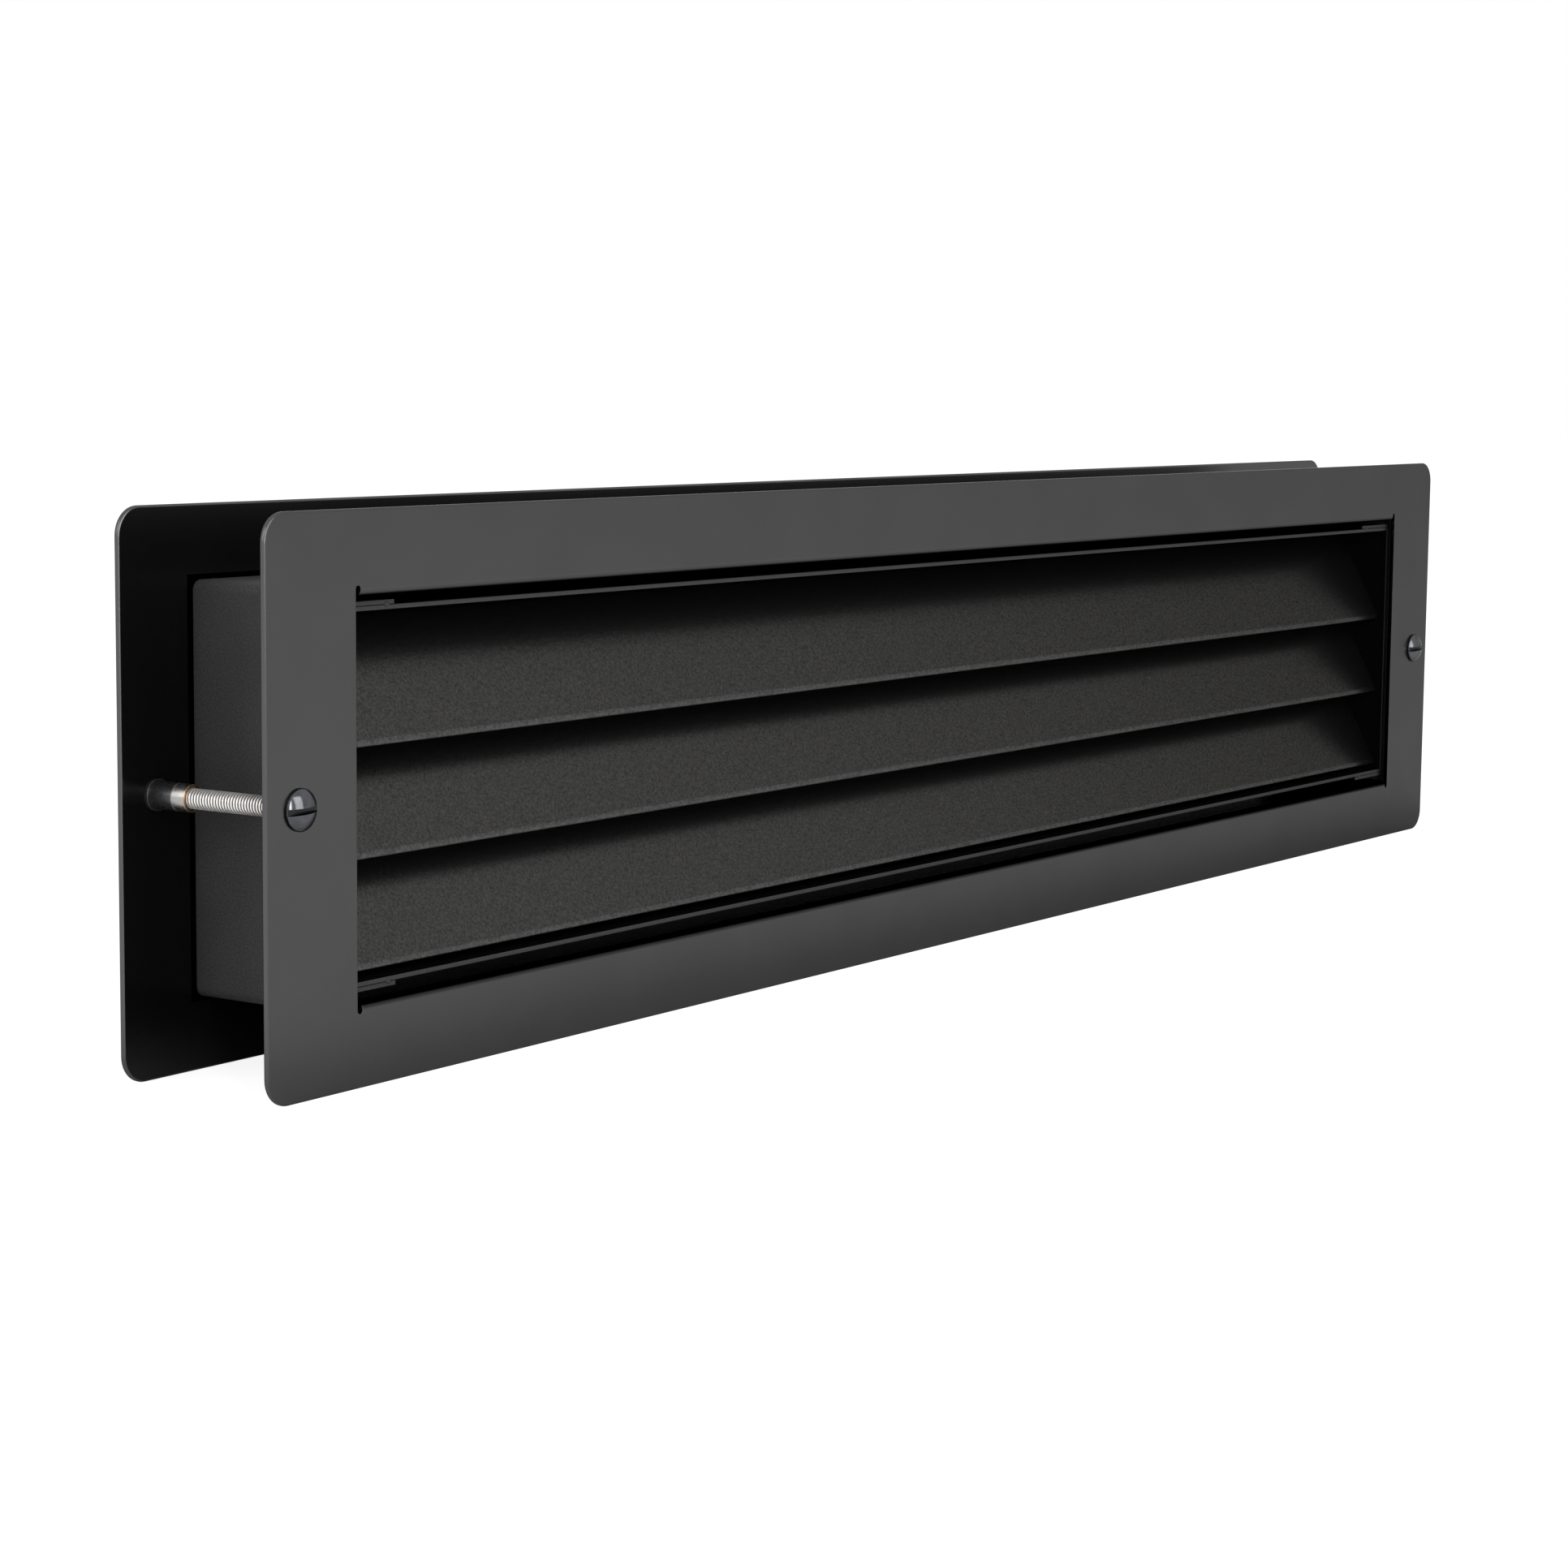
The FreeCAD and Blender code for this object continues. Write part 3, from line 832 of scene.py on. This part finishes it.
def thread_rows(shape, start, end, fasteners):
    """Rows of vertices from crest to crest, a pitch long, that wind along the shank."""
    crest = shape.verts.layers.float.new("crest")
    steps = fasteners.turn_steps
    pitch = fasteners.pitch
    depth = fasteners.thread_depth
    radius = fasteners.thread_diameter / 2
    count = int((end - start) / pitch * steps) + 1 + steps
    rows = []
    for step in range(count):
        angle = 2 * math.pi * step / steps
        row = []
        for point in range(THREAD_POINTS):
            y = start + pitch * (step / steps + point / THREAD_POINTS - 1)
            from_root = abs(1 - 2 * point / THREAD_POINTS)
            high = smooth_step(from_root, ROOT_FLAT, 1 - CREST_FLAT)
            y = min(max(y, start), end)
            tapered = radius - depth + depth * (end - y) / fasteners.tip_taper
            reach = min(radius - depth * (1 - high), tapered)
            vertex = shape.verts.new((reach * math.sin(angle), y, reach * math.cos(angle)))
            # Share of the crests' painted highlight, the rest being the roots' painted shade
            vertex[crest] = high ** 2
            row.append(vertex)
        rows.append(row)
    return rows


# Tack welds


def weld_places():
    """Spots on the seam between each tab and its rail, at the front and the back."""
    places = []
    for end in ENDS:
        low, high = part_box(f"{end}_end_wall")
        x = low.x + WELD_FROM_TAB_END if end == "right" else high.x - WELD_FROM_TAB_END
        for rail in ("top_rail", "bottom_rail"):
            rail_low, rail_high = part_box(rail)
            seam = rail_high.z if rail == "top_rail" else rail_low.z
            for face in (low.y, high.y):
                places.append(Vector((x, face, seam)))
    return places


def weld_spot(welds, place, seed):
    """Flattened uneven drop, half sunk in the seam."""
    dice = random.Random(seed)
    shape = bmesh.new()
    bmesh.ops.create_icosphere(shape, subdivisions=WELD_SUBDIVISIONS, radius=1.0)
    for vertex in shape.verts:
        vertex.co *= 1 + welds.roughness * (dice.random() - 0.5)
    bmesh.ops.smooth_vert(
        shape,
        verts=shape.verts,
        factor=WELD_SMOOTHING,
        use_axis_x=True,
        use_axis_y=True,
        use_axis_z=True,
    )
    half = (welds.length / 2, welds.height, WELD_WIDTH * welds.length / 2)
    shape.transform(Matrix.Translation(place) @ Matrix.Diagonal((*half, 1.0)))
    for face in shape.faces:
        face.smooth = True
    return shape


# Pieces


def object_from(shape, name):
    """Object that holds a bmesh."""
    mesh = bpy.data.meshes.new(name)
    shape.to_mesh(mesh)
    shape.free()
    made = bpy.data.objects.new(name, mesh)
    bpy.context.scene.collection.objects.link(made)
    bpy.context.view_layer.update()
    return made


def join_shapes(name, parts):
    """One object of several shapes, each with its own material."""
    together = bmesh.new()
    for number, (shape, _) in enumerate(parts):
        for face in shape.faces:
            face.material_index = number
            face.smooth = True
        loose = bpy.data.meshes.new(name)
        shape.to_mesh(loose)
        shape.free()
        together.from_mesh(loose)
        bpy.data.meshes.remove(loose)
    made = object_from(together, name)
    for _, material in parts:
        made.data.materials.append(material)
    made.data.set_sharp_from_angle(angle=SHARP_ANGLE)
    return made


def axis_and_radius(node):
    """Place along X of a fastener's axis, and the radius of its head."""
    low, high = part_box(node)
    return (low.x + high.x) / 2, (high.x - low.x) / 2


def place_on_axis(piece, x, tilt):
    """Moves a fastener from the Y axis to its own, in its mesh, and leans its slot."""
    lean = Matrix.Rotation(-tilt, 4, "Y")
    piece.data.transform(Matrix.Translation((x, 0, 0)) @ lean)


def finish_piece(piece, body, slot, *nodes):
    """Hangs a new piece on its body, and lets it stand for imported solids."""
    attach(piece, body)
    if nodes:
        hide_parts(*nodes)


# Stage


def seen_directly(material, in_mirrors=1.0):
    """1 for what the camera or a glass sees, a share in mirrors, 0 for light on things."""
    rays = add_node(material, "ShaderNodeLightPath").outputs
    mirrored = combine(material, "MULTIPLY", rays["Is Glossy Ray"], in_mirrors)
    direct = combine(material, "MAXIMUM", rays["Is Camera Ray"], rays["Is Transmission Ray"])
    return combine(material, "MAXIMUM", direct, mirrored)


def lay_floor(stage):
    """Pale floor under the plates' lower edges."""
    half = stage.floor_size / 2
    height = CAD_BOX[0][2]
    shape = bmesh.new()
    corners = [(-half, -half), (half, -half), (half, half), (-half, half)]
    shape.faces.new([shape.verts.new((x, y, height)) for x, y in corners])
    floor = object_from(shape, "floor")
    floor.data.materials.append(pale_floor(stage))


def pale_floor(stage):
    """White to the eye, with a soft shadow, and in mirrors white only clear of the vent."""
    material, shader, place = new_material("pale_floor")
    patches = noise(material, place, FLOOR_PATCH, detail=3.0)
    finish = {
        "Base Color": mix_colours(material, patches, FLOOR_DARK, FLOOR_LIGHT),
        "Roughness": FLOOR_ROUGHNESS,
        "Specular IOR Level": 0.0,
    }
    fill_inputs(material, shader, finish)
    end, back = CAD_BOX[1][:2]
    past_end = combine(material, "SUBTRACT", distance_from(material, place, "X", 0.0), end)
    away = combine(material, "MAXIMUM", past_end, distance_from(material, place, "Y", 0.0))
    in_mirrors = eased(material, away, back, stage.floor_clear_at)
    seen = seen_directly(material, in_mirrors)
    white = combine(material, "MULTIPLY", seen, stage.floor_whiteness)
    glow = add_node(material, "ShaderNodeEmission", inputs={"Strength": FLOOR_GLOW})
    layers = {0: white, 1: shader.outputs["BSDF"], 2: glow.outputs["Emission"]}
    mixed = add_node(material, "ShaderNodeMixShader", inputs=layers)
    output = material.node_tree.nodes["Material Output"]
    fill_inputs(material, output, {"Surface": mixed.outputs["Shader"]})
    return material


def light_surroundings(scene, stage):
    """White all round to the eye, with a plain level of light from it."""
    world = bpy.data.worlds.new("studio")
    world.use_nodes = True
    scene.world = world
    strength = ramp(world, seen_directly(world), 0.0, 1.0, stage.ambient, 1.0)
    background = world.node_tree.nodes["Background"]
    fill_inputs(world, background, {"Color": (1.0, 1.0, 1.0, 1.0), "Strength": strength})


def add_lamp(name, place, size, colour, power):
    """Soft rectangular lamp that faces the vent."""
    data = bpy.data.lights.new(name, "AREA")
    data.shape = "RECTANGLE"
    data.size, data.size_y = size
    data.energy = power
    data.color = colour
    lamp = bpy.data.objects.new(name, data)
    lamp.location = place
    lamp.rotation_euler = (-Vector(place)).to_track_quat("-Z", "Y").to_euler()
    bpy.context.scene.collection.objects.link(lamp)


def place_camera(scene, stage):
    """Camera at the photograph's viewpoint, to the left and a little above."""
    data = bpy.data.cameras.new("camera")
    data.sensor_width = SENSOR_WIDTH
    data.lens = stage.focal_length
    camera = bpy.data.objects.new("camera", data)
    camera.location = CAMERA_PLACE
    camera.rotation_euler = [math.radians(angle) for angle in CAMERA_TURN]
    scene.collection.objects.link(camera)
    scene.camera = camera


# Operators, one for each piece or group of like pieces


class VENT_OT_cover_plates(bpy.types.Operator):
    """Gives both cover plates their satin coat"""

    bl_idname = "vent.cover_plates"
    bl_label = "Cover plates"

    def execute(self, context):
        coat = context.scene.vent_grille.plate_coat
        for node, face in (("front_plate", FRONT_SEAT), ("rear_plate", REAR_SEAT)):
            dress((node,), powder_coat(f"{node}_black", coat, window_face=face))
        return {"FINISHED"}


class VENT_OT_sleeve(bpy.types.Operator):
    """Gives the sleeve its dull coat"""

    bl_idname = "vent.sleeve"
    bl_label = "Sleeve"

    def execute(self, context):
        dress(("sleeve",), powder_coat("sleeve_black", context.scene.vent_grille.sleeve_coat))
        return {"FINISHED"}


class VENT_OT_cassette(bpy.types.Operator):
    """Gives the rails and end walls their matt coat, and the slats their grained one"""

    bl_idname = "vent.cassette"
    bl_label = "Slatted cassette"

    def execute(self, context):
        settings = context.scene.vent_grille
        # Near-black painted shade on the rails and end walls, with painted highlights on their cut
        # edges and painted shade in the seam; painted highlights on the slats' lips
        frame_coat = powder_coat("frame_black", settings.frame_coat, RAIL_HIGH.y, seam=RAIL_HIGH.z)
        slat_coat = powder_coat("slat_black", settings.slat_coat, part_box("slat_1")[1].y)
        dress(CASSETTE_FRAME, frame_coat)
        dress(SLATS, slat_coat)
        return {"FINISHED"}


class VENT_OT_screws(bpy.types.Operator):
    """Makes the slotted screws, with their rolled threads"""

    bl_idname = "vent.screws"
    bl_label = "Slotted screws"

    def execute(self, context):
        fasteners = context.scene.vent_grille.fasteners
        black = blackened_steel("screw_head_black", fasteners)
        steel = bright_thread("screw_thread", fasteners)
        for end in ENDS:
            node = f"{end}_screw"
            crown, tip = [corner.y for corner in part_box(node)]
            x, radius = axis_and_radius(node)
            head = slotted_head(radius, FRONT_SEAT, crown, fasteners)
            shank = threaded_shank(FRONT_SEAT, tip, fasteners)
            piece = join_shapes(f"{end}_slotted_screw", [(head, black), (shank, steel)])
            place_on_axis(piece, x, fasteners.slot_tilt)
            finish_piece(piece, node, "blackened_steel", node)
        return {"FINISHED"}


class VENT_OT_sleeve_nuts(bpy.types.Operator):
    """Makes the barrel nuts, part bare and part blackened"""

    bl_idname = "vent.sleeve_nuts"
    bl_label = "Sleeve nuts"

    def execute(self, context):
        fasteners = context.scene.vent_grille.fasteners
        black = blackened_steel("nut_head_black", fasteners)
        barrel_coat = barrel_finish("nut_barrel", fasteners)
        for end in ENDS:
            node = f"{end}_sleeve_nut"
            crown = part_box(node)[1].y
            x, radius = axis_and_radius(node)
            head = slotted_head(radius, REAR_SEAT, crown, fasteners)
            barrel = revolved(barrel_profile(fasteners))
            piece = join_shapes(f"{end}_barrel_nut", [(head, black), (barrel, barrel_coat)])
            place_on_axis(piece, x, -fasteners.slot_tilt)
            finish_piece(piece, "rear_half", "nut_steel", node)
        return {"FINISHED"}


class VENT_OT_tack_welds(bpy.types.Operator):
    """Adds the small painted tack welds at the cassette's corners"""

    bl_idname = "vent.tack_welds"
    bl_label = "Tack welds"

    def execute(self, context):
        settings = context.scene.vent_grille
        # The welds take the frame's near-black painted shade, with a painted highlight where they
        # stand out towards the front and back
        coat = powder_coat("weld_black", settings.frame_coat, RAIL_HIGH.y - WELD_HIGHLIGHT_DEPTH)
        for number, place in enumerate(weld_places()):
            spot = weld_spot(settings.tack_welds, place, number)
            piece = object_from(spot, f"tack_weld_{number + 1}")
            piece.data.materials.append(coat)
            finish_piece(piece, "rear_half", "textured_black")
        return {"FINISHED"}


class VENT_OT_stage(bpy.types.Operator):
    """Sets the floor, the lamps, the surroundings and the camera"""

    bl_idname = "vent.stage"
    bl_label = "Stage"

    def execute(self, context):
        stage = context.scene.vent_grille.stage
        lay_floor(stage)
        light_surroundings(context.scene, stage)
        powers = (stage.key_power, stage.side_power, stage.edge_power)
        for (name, place, size, colour), power in zip(LAMPS, powers, strict=True):
            add_lamp(name, place, size, colour, power)
        place_camera(context.scene, stage)
        context.scene.view_settings.view_transform = "Standard"
        return {"FINISHED"}


# Panel and registration


def own_properties(group):
    """Properties that a group of settings adds to those that every group has."""
    return [item for item in group.bl_rna.properties if item.identifier not in ("rna_type", "name")]


class VENT_PT_panel(bpy.types.Panel):
    """Settings of the vent, and a button for each piece or group of pieces"""

    bl_idname = "VENT_PT_panel"
    bl_label = "Door vent grille"
    bl_space_type = "VIEW_3D"
    bl_region_type = "UI"
    bl_category = "Vent"

    def draw(self, context):
        settings = context.scene.vent_grille
        for pointer in own_properties(settings):
            group = getattr(settings, pointer.identifier)
            box = self.layout.box()
            box.label(text=pointer.name)
            for item in own_properties(group):
                box.prop(group, item.identifier)
        for operator in OPERATORS:
            self.layout.operator(operator.bl_idname)


OPERATORS = (
    VENT_OT_stage,
    VENT_OT_cover_plates,
    VENT_OT_sleeve,
    VENT_OT_cassette,
    VENT_OT_screws,
    VENT_OT_sleeve_nuts,
    VENT_OT_tack_welds,
)
CLASSES = (
    PlateCoat,
    SlatCoat,
    FrameCoat,
    SleeveCoat,
    Fasteners,
    TackWelds,
    Stage,
    VentGrilleSettings,
    *OPERATORS,
    VENT_PT_panel,
)


def register():
    """Adds the vent's settings, operators and panel."""
    for kind in CLASSES:
        bpy.utils.register_class(kind)
    bpy.types.Scene.vent_grille = PointerProperty(type=VentGrilleSettings)


def unregister():
    """Takes them out again."""
    del bpy.types.Scene.vent_grille
    for kind in reversed(CLASSES):
        bpy.utils.unregister_class(kind)


def main():
    """Registers the vent's classes, builds the stage and finishes every piece."""
    register()
    for operator in OPERATORS:
        group, name = operator.bl_idname.split(".")
        getattr(getattr(bpy.ops, group), name)()


if __name__ == "__main__":
    main()
